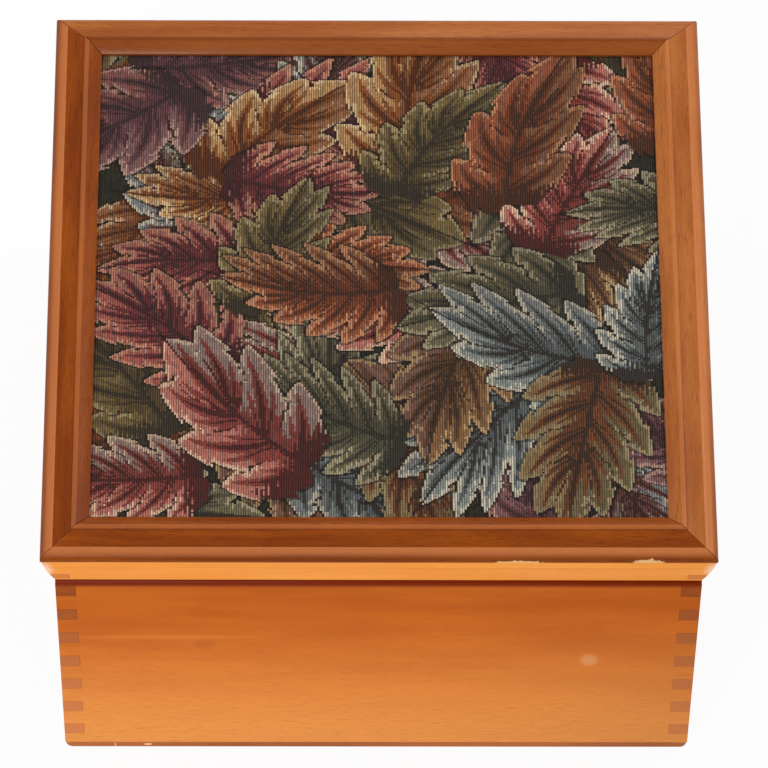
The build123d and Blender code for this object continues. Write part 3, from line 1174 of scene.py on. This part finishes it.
        # Painted highlights on the bead and the outer strip, and painted shade on the back rail's bead and
        # slope.
        name_faces(mesh, "seam", lambda face: self.seam_of(face, side))
        side.turn(mesh)
        smooth_curves(mesh)
        return new_object(f"frame_{side.word}", mesh)

    def build(self) -> None:
        """Builds, dresses and fits the four rails."""
        # Painted light: the right and back rails get the lighter copy of the frame's wood, and the back rail
        # painted shade on its bead and slope.
        woods = {Side.RIGHT: PAINTED_LIT_FRAME_WOOD, Side.BACK: BACK_FRAME_WOOD}
        for index, side in enumerate((Side.FRONT, Side.RIGHT, Side.BACK, Side.LEFT)):
            piece = self.build_rail(side, (self.mitre_gaps[index], self.mitre_gaps[(index + 1) % 4]))
            material = woods.get(side, FRAME_WOOD).material(side.grain, 3.0 + index)
            fit(piece, material, "lid", f"frame_{side.word}_rail")


OUTSIDE = -99.0
TEETH = 2.7
TOOTH_DEPTH = 0.34
FLAMES = ((-0.70, 0.52, 0.28), (-0.04, 0.92, 0.46), (0.66, 0.60, 0.30))


class Dye(enum.Enum):
    """Yarns of one leaf: outline, light, middle and dark."""

    ROSE = ((232, 206, 182), (190, 120, 112), (134, 60, 58), (68, 26, 26))
    SLATE = ((216, 212, 196), (140, 154, 158), (84, 98, 104), (40, 40, 42))
    SLATE_WINE = ((214, 206, 188), (126, 136, 146), (98, 60, 58), (50, 26, 26))
    OLIVE = ((168, 156, 118), (112, 98, 62), (80, 68, 42), (44, 40, 30))
    SAGE = ((174, 170, 144), (108, 104, 82), (72, 74, 60), (40, 42, 36))
    SAGE_RUST = ((166, 154, 120), (104, 96, 70), (106, 62, 36), (54, 36, 26))
    TAN = ((230, 204, 164), (188, 148, 102), (132, 76, 38), (80, 38, 16))
    RUST = ((204, 148, 112), (150, 84, 58), (108, 54, 32), (64, 34, 22))
    BRONZE = ((198, 168, 124), (132, 100, 68), (92, 62, 40), (50, 36, 26))
    MAUVE = ((196, 160, 152), (128, 92, 98), (92, 56, 66), (52, 34, 42))
    PLUM = ((206, 150, 128), (164, 92, 86), (104, 44, 50), (60, 26, 32))

    def partner(self) -> Dye:
        """The dye that tints the other half of its leaves."""
        dyes = list(Dye)
        return dyes[(dyes.index(self) + 1) % len(dyes)]


@dataclass(frozen=True)
class Leaf:
    """A woven leaf: its base, way, size and dye."""

    x: float
    y: float
    way: float
    length: float
    width: float
    bend: float
    lobes: int
    dye: Dye


@dataclass
class Lobes:
    """The lobe that each cell lies in: its depth, the next lobe's depth, how far out it is, and its side."""

    depth: np.ndarray
    second: np.ndarray
    out: np.ndarray
    aside: np.ndarray

    @classmethod
    def none(cls, count: int) -> Lobes:
        """No lobe anywhere, for a number of cells."""
        return cls(np.full(count, OUTSIDE), np.full(count, OUTSIDE), np.zeros(count), np.ones(count))

    def add(self, along: np.ndarray, aside: np.ndarray, reach: float, half: float, curl: float) -> None:
        """Adds a pointed lobe with a toothed edge.

        Args:
            along: Each cell's place along the lobe, from its root.
            aside: Each cell's distance from the lobe's line.
            reach: The lobe's length.
            half: Half of its width.
            curl: How far its tip turns aside.
        """
        share = np.clip(along / reach, 0.0, 1.0)
        bent = aside - curl * share ** 2
        teeth = 1.06 - TOOTH_DEPTH * np.mod(share * TEETH + 0.1, 1.0)
        edge = half * 1.55 * share ** 0.35 * (1 - share) ** 0.58 * teeth
        depth = np.where((along > 0) & (along < reach), edge - np.abs(bent), OUTSIDE)
        depth = np.where(along >= reach, -np.hypot(along - reach, bent), depth)
        better = depth > self.depth
        self.second = np.where(better, self.depth, np.maximum(self.second, depth))
        self.out = np.where(better, share, self.out)
        self.aside = np.where(better, bent / half, self.aside)
        self.depth = np.where(better, depth, self.depth)


@dataclass
class LeafCloth:
    """Draws overlapping leaves on a field of cells, one cell for each stitch, in millimetres."""

    x: np.ndarray
    y: np.ndarray
    column: np.ndarray
    row: np.ndarray
    ground: tuple[int, int, int] = (42, 40, 30)
    binding: tuple[int, int, int] = (100, 80, 66)
    binding_share: float = 0.18
    partner_share: float = 0.55
    shadow: float = 0.55
    shadow_width: float = 1.1
    run_length: int = 3
    seed: int = 11

    def __post_init__(self) -> None:
        """Starts with the bare ground, and gives each short run of a rib its own chance."""
        rng = np.random.default_rng(self.seed)
        runs = rng.random((int(self.column.max()) + 1, int(self.row.max()) // self.run_length + 2))
        self.run = runs[self.column, (self.row + self.column % self.run_length) // self.run_length]
        self.stitch = 0.6 * self.run + 0.4 * (self.column % 2)
        self.yarn = np.outer(0.8 + 0.4 * self.run, self.ground)

    def lobes_of(self, leaf: Leaf, u: np.ndarray, v: np.ndarray) -> Lobes:
        """Finds the lobes of a leaf.

        Args:
            leaf: The leaf.
            u: Each cell's place along the leaf.
            v: Its distance from the midrib, left and right.

        Returns:
            The lobes.
        """
        lobes = Lobes.none(len(u))
        spacing = 0.74 * leaf.length / leaf.lobes
        for side, start in ((1, 0.02), (-1, 0.08)):
            for share in (index / leaf.lobes for index in range(leaf.lobes)):
                root = leaf.length * (start + 0.66 * share)
                angle = math.radians(74 - 44 * share)
                reach = leaf.width * math.sin(math.pi * (0.30 + 0.55 * share)) ** 0.6
                along = (u - root) * math.cos(angle) + side * v * math.sin(angle)
                aside = side * v * math.cos(angle) - (u - root) * math.sin(angle)
                lobes.add(along, aside, reach, 0.62 * spacing, -0.60 * spacing)
        tip = 0.48 * leaf.length
        lobes.add(u - tip, v, leaf.length - tip, 0.74 * spacing, 0.0)
        body = np.where(u > 0, 0.14 * (leaf.length - u) - np.abs(v), OUTSIDE)
        lobes.depth = np.maximum(lobes.depth, body)
        return lobes

    def draw(self, leaf: Leaf) -> None:
        """Draws one leaf over what is there.

        Args:
            leaf: The leaf.
        """
        cos, sin = math.cos(leaf.way), math.sin(leaf.way)
        dx, dy = self.x - leaf.x, self.y - leaf.y
        along, aside = dx * cos + dy * sin, dy * cos - dx * sin
        near = np.flatnonzero((np.abs(along - leaf.length / 2) < leaf.length) & (np.abs(aside) < leaf.length))
        u, stitch = along[near], self.stitch[near]
        v = aside[near] - leaf.bend * leaf.length * (u / leaf.length) ** 2
        lobes = self.lobes_of(leaf, u, v)
        inside = lobes.depth > 0
        self.yarn[near[~inside & (lobes.depth > -self.shadow_width)]] *= self.shadow
        share, out = np.clip(u / leaf.length, 0, 1), lobes.out
        part = lobes.aside / np.maximum(out, 0.12) ** 0.6
        flame = out < 0.26 + 0.12 * (stitch - 0.5)
        vein = np.zeros(len(u), bool)
        for line, length, girth in FLAMES:
            left = 1 - out / length + 0.12 * (stitch - 0.5)
            away = np.abs(part + 0.25 * out ** 2 - line)
            flame |= away < (girth + 0.22) * left
            vein |= away < girth * left - 0.10
        vein |= (lobes.depth - lobes.second < 0.8) & (lobes.second > -0.3) & (out < 0.6)
        vein |= (np.abs(v) < 0.4 + 1.8 * (1 - share) * stitch) | (share < 0.05 + 0.10 * stitch)
        rim = (lobes.depth + np.maximum(lobes.second + 1.5, 0) < 0.8 + 2.0 * stitch) & (out > 0.34)
        outline, light, middle, dark = (np.array(colour, float) for colour in leaf.dye.value)
        tint = np.array(leaf.dye.partner().value[1], float)
        other = (1 - self.partner_share) * light + self.partner_share * tint
        light = np.where((v < 0)[:, None], other, light)
        colour = np.where(flame[:, None], middle, light)
        colour = np.where(rim[:, None], 0.8 * outline + 0.2 * light, colour)
        colour = np.where(vein[:, None], dark, colour)
        shade = np.where(v < 0, 0.92, 1.04) * (0.88 + 0.24 * self.run[near])
        bound = np.array(self.binding) * self.binding_share
        shown = colour * shade[:, None] * (1 - self.binding_share) + bound
        self.yarn[near[inside]] = shown[inside]


@dataclass
class TapestryPanel:
    """The cloth over its wadding and board, held in the frame's rebate."""

    cloth: Tapestry = Tapestry()
    crown: float = 0.5 * MM
    pad_sink: float = 0.2 * MM
    pad_edge: float = 1.5 * MM
    leaf_rows: int = 8
    leaf_columns: int = 7
    leaf_lengths: tuple[float, float] = (62.0, 84.0)
    leaf_widths: tuple[float, float] = (0.40, 0.50)
    leaf_bend: float = 0.35
    jitter: float = 0.035
    seed: int = 5

    def __post_init__(self) -> None:
        """Reads the cloth's place from the CAD cover."""
        self.low, self.high = corners("tapestry_cover")
        self.width, self.depth = self.high.x - self.low.x, self.high.y - self.low.y
        self.columns = round(self.width / MM / self.cloth.rib)
        self.rows = round(self.depth / MM / self.cloth.pick)

    def leaves(self) -> list[Leaf]:
        """Leaves on a jittered grid, turned every way.

        Returns:
            The leaves in the order in which they are woven.
        """
        rng = np.random.default_rng(self.seed)
        dyes = list(Dye)
        placed = []
        for row in range(self.leaf_rows):
            for column in range(self.leaf_columns):
                x = (column + 0.25 + 0.5 * (row % 2)) / self.leaf_columns - 0.5
                y = (row + 0.5) / self.leaf_rows - 0.5
                jitter = rng.uniform(-self.jitter, self.jitter, 2)
                way = rng.uniform(0, 2 * math.pi)
                length = rng.uniform(*self.leaf_lengths)
                width = length * rng.uniform(*self.leaf_widths)
                bend = rng.uniform(-self.leaf_bend, self.leaf_bend)
                start_x = (x + jitter[0]) * self.width / MM - 0.5 * length * math.cos(way)
                start_y = (y + jitter[1]) * self.depth / MM - 0.5 * length * math.sin(way)
                dye = dyes[(4 * len(placed) + row) % len(dyes)]
                placed.append(Leaf(start_x, start_y, way, length, width, bend, int(rng.integers(3, 6)), dye))
        rng.shuffle(placed)
        return placed

    def rise(self, x: float, y: float) -> float:
        """The cloth's crown over the pad, at a place about its middle."""
        return self.crown * (1 - (2 * x / self.width) ** 4) * (1 - (2 * y / self.depth) ** 4)

    def build_cloth(self) -> None:
        """Weaves the cloth as a grid of cells and puts the leaves' colours on it."""
        cells = (self.columns, self.rows)
        piece = new_object("tapestry_cloth", sheet_mesh(self.low, self.high, cells, self.rise))
        self.colour(piece.data)
        fit(piece, self.cloth.material(), "lid", "tapestry_cover")

    def colour(self, data: Mesh) -> None:
        """Paints each cell of the cloth's mesh in its yarn's colour.

        Args:
            data: The cloth's mesh.
        """
        centres = np.empty(3 * len(data.polygons))
        data.polygons.foreach_get("center", centres)
        middle = (self.low + self.high) / 2
        x, y = centres[0::3] - middle.x, centres[1::3] - middle.y
        column = np.clip(np.floor((x / self.width + 0.5) * self.columns), 0, self.columns - 1).astype(int)
        row = np.clip(np.floor((y / self.depth + 0.5) * self.rows), 0, self.rows - 1).astype(int)
        cloth = LeafCloth(x / MM, y / MM, column, row)
        for leaf in self.leaves():
            cloth.draw(leaf)
        corner_counts = np.empty(len(data.polygons), int)
        data.polygons.foreach_get("loop_total", corner_counts)
        painted = np.column_stack([linear(cloth.yarn), np.ones(len(x))])
        layer = data.color_attributes.new("yarn", "FLOAT_COLOR", "CORNER")
        layer.data.foreach_set("color", np.repeat(painted, corner_counts, axis=0).ravel())

    def build_pad(self) -> None:
        """The wadding under the cloth, with drawn-in edges."""
        low, high = corners("tapestry_wadding")
        mesh = box_mesh(low, high - Vector((0, 0, self.pad_sink)))
        ease(mesh, sharp_edges(mesh), self.pad_edge, 3)
        piece = new_object("tapestry_pad", mesh)
        fit(piece, WADDING.material(), "lid", "tapestry_wadding")

    def build(self) -> None:
        """Builds the board's finish, the pad and the cloth."""
        carried("tapestry_board", HARDBOARD.material())
        self.build_pad()
        self.build_cloth()


class HingeHalf(enum.Enum):
    """The half of the hinges on one body: its word in the nodes' names, its body and its screws' way."""

    BOX = ("box", "case", -1)
    LID = ("lid", "lid", 1)

    def __init__(self, word: str, body: str, up: int) -> None:
        """Names the values."""
        self.word, self.body, self.up = word, body, up

    @property
    def level(self) -> float:
        """The level of the board's edge that its leaves are let into."""
        return corners("lid_back_board")[0].z if self is HingeHalf.LID else corners("back_board")[1].z


@dataclass
class HingePair:
    """Two small brass butt hinges, with slotted countersunk screws."""

    length: float = 6.0 * MM
    head: float = 1.5 * MM
    head_edge: float = 0.1 * MM
    shank: float = 0.8 * MM
    straight: float = 0.82
    slot: float = 0.4 * MM
    leaf: float = 1.2 * MM
    leaf_width: float = 5.0 * MM
    room: float = 0.1 * MM
    past: float = 1.0 * MM
    behind: float = 6.0 * MM
    pitch: float = 22.0 * MM
    facets: int = 20
    first_turn: float = 0.5
    next_turn: float = 1.3

    def mortise_cutters(self, half: HingeHalf) -> list[Object]:
        """Blocks as large as the leaves of one half, to let them into the back board.

        Args:
            half: The half.

        Returns:
            The cutters.
        """
        made = []
        back = corners("back_board")[1].y
        bottom, top = sorted((half.level - half.up * self.past, half.level + half.up * self.leaf))
        for side in ("left", "right"):
            low, high = corners(f"hinge_leaf_{half.word}_{side}")
            low_corner = (low.x - self.room, back - self.leaf_width - self.room, bottom)
            high_corner = (high.x + self.room, back + self.behind, top)
            made.append(new_object(f"cutter_{side}", box_mesh(low_corner, high_corner)))
        return made

    def build_screw(self) -> Object:
        """Turns and slots one screw, with its head's face at the origin.

        Returns:
            The screw.
        """
        tip, neck = -self.length, self.shank - self.head
        section = (
            (0, 0), (self.head, 0), (self.head, -self.head_edge), (self.shank, neck),
            (self.shank, self.straight * tip), (0, tip),
        )
        mesh = bmesh.new()
        verts = [mesh.verts.new((radius, 0, height)) for radius, height in section]
        edges = [mesh.edges.new(pair) for pair in zip(verts, verts[1:])]
        bmesh.ops.spin(
            mesh, geom=verts + edges, cent=(0, 0, 0), axis=(0, 0, 1), dvec=(0, 0, 0), angle=2 * math.pi,
            steps=self.facets, use_merge=True,
        )
        # The two points on the axis still have a copy for each facet.
        bmesh.ops.remove_doubles(mesh, verts=mesh.verts[:], dist=NEAR)
        bmesh.ops.recalc_face_normals(mesh, faces=mesh.faces[:])
        screw = new_object("screw", mesh)
        corner = Vector((2 * self.head, self.slot / 2, self.slot))
        cut_away(screw, [new_object("slot", box_mesh(-corner, corner))])
        return screw

    def build_screws(self, half: HingeHalf, brass: Material) -> None:
        """Places one half's screws.

        Args:
            half: The half.
            brass: Their finish.
        """
        name = f"hinge_screws_{half.word}"
        low, high = corners(name)
        last = high.x - self.head
        screw = self.build_screw()
        over = Matrix.Rotation(math.pi if half.up > 0 else 0.0, 4, "X")
        whole = bmesh.new()
        for index, x in enumerate((last, last - self.pitch, -last, self.pitch - last)):
            place = Matrix.Translation((x, (low.y + high.y) / 2, half.level))
            placed = screw.data.copy()
            turned = Matrix.Rotation(self.first_turn + self.next_turn * index, 4, "Z")
            placed.transform(place @ over @ turned)
            whole.from_mesh(placed)
        bpy.data.objects.remove(screw)
        fit(new_object(f"slotted_screws_{half.word}", whole), brass, half.body, name)

    def build(self) -> None:
        """Dresses leaves and pins, and builds the screws."""
        brass = Brass().material()
        for side in ("left", "right"):
            for node in (f"hinge_leaf_box_{side}", f"hinge_leaf_lid_{side}", f"hinge_pin_{side}"):
                carried(node, brass)
        for half in HingeHalf:
            self.build_screws(half, brass)


@dataclass
class Case:
    """The jointed case with its base panel, felt and tray runners."""

    fingers: int = 7
    finger: float = 8.0 * MM
    above: float = 2.8 * MM
    rim: float = 1.8 * MM
    # Depths below the rim of the strips that get painted shadow from the lid.
    dusk: tuple[float, ...] = (4.2 * MM, 3.6 * MM, 3.0 * MM, 2.4 * MM)
    felt_cells: int = 60
    felt_wave: float = 0.25 * MM
    felt_turns: tuple[float, float] = (61.0, 47.0)

    def build(self, hinges: HingePair) -> None:
        """Builds the case.

        Args:
            hinges: The hinges that are let into its back board.
        """
        JointedSides(
            "case", "", "case_wood", CASE_WOOD, 1.0, self.fingers, self.finger, self.above, self.rim,
            dusk=self.dusk, cutters=hinges.mortise_cutters(HingeHalf.BOX),
        ).build()
        carried("base_panel", BASE_WOOD.material(Axis.ACROSS, 1.0))
        for index, side in enumerate(("left", "right")):
            carried(f"tray_runner_{side}", TRAY_WOOD.material(Axis.BACK, 30.0 + index))
        self.build_lining()

    def build_lining(self) -> None:
        """Felt on the bottom, with shallow waves."""
        low, high = corners("base_lining")

        def rise(x: float, y: float) -> float:
            """The waves at a place."""
            across, back = self.felt_turns
            return -self.felt_wave * (1 + math.sin(x * across) * math.sin(y * back + 1.0))

        piece = new_object("felt_lining", sheet_mesh(low, high, (self.felt_cells, self.felt_cells), rise))
        fit(piece, FELT.material(), "case", "base_lining")


@dataclass
class Lid:
    """The lid's flared sides, panel, moulded frame and tapestry."""

    finger: float = 5.8 * MM
    above: float = 7.3 * MM
    rim: float = 0.6 * MM
    recess: float = 3.4 * MM
    margin: float = 15.5 * MM
    fine: float = 0.22 * MM
    joint: float = 0.2 * MM

    def __post_init__(self) -> None:
        """Reads the lid's levels from the CAD nodes."""
        panel_low, panel_high = corners("lid_panel")
        self.panel_bottom, self.top = panel_low.z, panel_high.z
        self.flare = Flare(corners("lid_front_board")[0].z, self.top)

    def build_panel(self) -> None:
        """The panel, flared like the sides and sunk for the tapestry board."""
        block = self.flare.block
        mesh = box_mesh((-block.x, -block.y, self.panel_bottom), (block.x, block.y, self.top))
        top = max(mesh.faces, key=lambda face: face.calc_center_median().z)
        bmesh.ops.inset_region(mesh, faces=[top], thickness=self.margin, depth=0.0)
        floor = bmesh.ops.extrude_face_region(mesh, geom=[top])["geom"]
        bmesh.ops.delete(mesh, geom=[top], context="FACES_ONLY")
        shift(mesh, (0, 0, -self.recess), only(BMVert, floor))
        bmesh.ops.recalc_face_normals(mesh, faces=mesh.faces[:])
        self.flare.shape(mesh, self.panel_bottom, self.top)
        ease(mesh, sharp_edges(mesh, CORNER), self.fine, 2)
        # Here the attribute only darkens the joint along the panel's lower edge.
        name_faces(mesh, "seam", lambda face: face.calc_center_median().z < self.panel_bottom + self.joint)
        smooth_curves(mesh)
        piece = new_object("lid_top", mesh)
        fit(piece, SKIRT_WOOD.material(Axis.ACROSS, 15.0), "lid", "lid_panel")

    def build(self, hinges: HingePair) -> None:
        """Builds the lid.

        Args:
            hinges: The hinges that are let into its back board.
        """
        JointedSides(
            "lid", "lid_", "case_wood", SKIRT_WOOD, 10.0, 1, self.finger, self.above, self.rim,
            rim_at_top=False, flare=self.flare, cutters=hinges.mortise_cutters(HingeHalf.LID),
        ).build()
        self.build_panel()
        MouldedFrame().build()
        TapestryPanel().build()


@dataclass
class Tray:
    """The sliding tray with its dividers."""

    fingers: int = 3
    finger: float = 6.0 * MM
    above: float = 3.0 * MM
    rim: float = 0.5 * MM

    def build(self) -> None:
        """Builds the tray."""
        JointedSides(
            "tray", "tray_", "tray_wood", TRAY_WOOD, 20.0, self.fingers, self.finger, self.above,
            self.rim,
        ).build()
        carried("tray_base_panel", TRAY_WOOD.material(Axis.ACROSS, 25.0))
        carried("tray_long_divider", TRAY_WOOD.material(Axis.ACROSS, 26.0))
        for index, side in enumerate(("left", "right")):
            carried(f"tray_cross_divider_{side}", TRAY_WOOD.material(Axis.BACK, 27.0 + index))


@dataclass(frozen=True)
class Lamp:
    """A soft lamp, round or a strip of some height."""

    name: str
    place: Point
    aim: Point
    size: float
    power: float
    height: float = 0.0
    mirrored: bool = True

    def build(self) -> None:
        """Puts the lamp into the scene."""
        data = bpy.data.lights.new(self.name, "AREA")
        data.shape = "RECTANGLE" if self.height else "DISK"
        data.size, data.size_y, data.energy = self.size, self.height or self.size, self.power
        made = bpy.data.objects.new(self.name, data)
        made.location = self.place
        made.rotation_euler = (Vector(self.aim) - Vector(self.place)).to_track_quat("-Z", "Y").to_euler()
        made.visible_camera, made.visible_glossy = False, self.mirrored
        bpy.context.scene.collection.objects.link(made)


@dataclass
class Studio:
    """Floor, light and camera."""

    camera_place: Point = (-0.0208, -1.4360, 2.2005)
    pitch: float = 55.922
    yaw: float = 0.949
    roll: float = 0.878
    lens: float = 292.92
    sky: float = 0.30
    paper: Colour = (0.86, 0.86, 0.86)
    paper_fleck: Colour = (0.84, 0.84, 0.84)
    paper_glow: float = 0.93
    lamps: tuple[Lamp, ...] = (
        Lamp("lamp_right", (1.25, 0.60, 1.50), (0.0, 0.0, 0.12), 0.9, 15.0),
        Lamp("lamp_left", (-1.35, 0.35, 1.20), (0.0, 0.0, 0.12), 0.9, 7.0),
        Lamp("lamp_back", (0.50, 1.70, 1.05), (0.0, 0.0, 0.12), 1.0, 7.0),
        Lamp("lamp_front", (-0.70, -1.50, 1.80), (0.0, 0.0, 0.10), 0.8, 26.0),
        Lamp("reflector", (-0.14, -0.33, 0.01), (-0.02, -0.10, 0.03), 0.30, 0.06, mirrored=False),
        Lamp("strip_front", (-0.07, -0.225, 0.022), (-0.07, -0.127, 0.022), 0.36, 0.08, 0.04, False),
    )

    def build_camera(self) -> None:
        """The photograph's view: from above and in front, through a long lens."""
        data = bpy.data.cameras.new("camera")
        data.sensor_width, data.lens = 36.0, self.lens
        data.clip_start, data.clip_end = 0.05, 20.0
        made = bpy.data.objects.new("camera", data)
        pitch, yaw, roll = (math.radians(value) for value in (self.pitch, self.yaw, self.roll))
        turn = Matrix.Rotation(-yaw, 4, "Z") @ Matrix.Rotation(math.pi / 2 - pitch, 4, "X")
        made.matrix_world = Matrix.Translation(self.camera_place) @ turn @ Matrix.Rotation(roll, 4, "Z")
        bpy.context.scene.collection.objects.link(made)
        bpy.context.scene.camera = made

    def build_light(self) -> None:
        """A sky that looks white, soft lamps above and behind, and low reflectors in front."""
        world = bpy.data.worlds.new("studio")
        bpy.context.scene.world = world
        world.use_nodes = True
        g = Graph(world.node_tree)
        background = world.node_tree.nodes["Background"]
        background.inputs["Color"].default_value = (1, 1, 1, 1)
        g.feed(background.inputs["Strength"], g.stretch(g.seen(), 0.0, 1.0, self.sky, 1.0))
        for lamp in self.lamps:
            lamp.build()

    def build_floor(self) -> None:
        """A white floor that keeps the box's soft shadow."""
        mesh = bmesh.new()
        bmesh.ops.create_grid(mesh, x_segments=8, y_segments=8, size=3.0)
        floor = new_object("floor", mesh)
        made = Surface("floor_paper")
        g = made.graph
        speck = g.stretch(g.noise(made.plain, 0.06, 3.0), 0.3, 0.7)
        paper = g.mix(speck, self.paper, self.paper_fleck)
        material = made.finished({"Base Color": paper, "Roughness": 0.9})
        glow = g.add("Emission", {"Color": (1.0, 1.0, 1.0), "Strength": 1.0})
        lit = Value(g, made.shader.outputs[0])
        blend = g.add("MixShader", {0: g.seen() * self.paper_glow, 1: lit, 2: glow})
        g.feed(g.tree.nodes["Material Output"].inputs["Surface"], blend)
        floor.data.materials.append(material)

    def build(self) -> None:
        """Builds the studio."""
        bpy.context.scene.view_settings.view_transform = "Standard"
        self.build_camera()
        self.build_light()
        self.build_floor()


def main() -> None:
    """Builds the box's sub-assemblies and the studio, in order."""
    logging.basicConfig(level=logging.INFO, format="%(name)s: %(message)s")
    hinges = HingePair()
    Studio().build()
    Case().build(hinges)
    Lid().build(hinges)
    Tray().build()
    hinges.build()


if __name__ == "__main__":
    main()
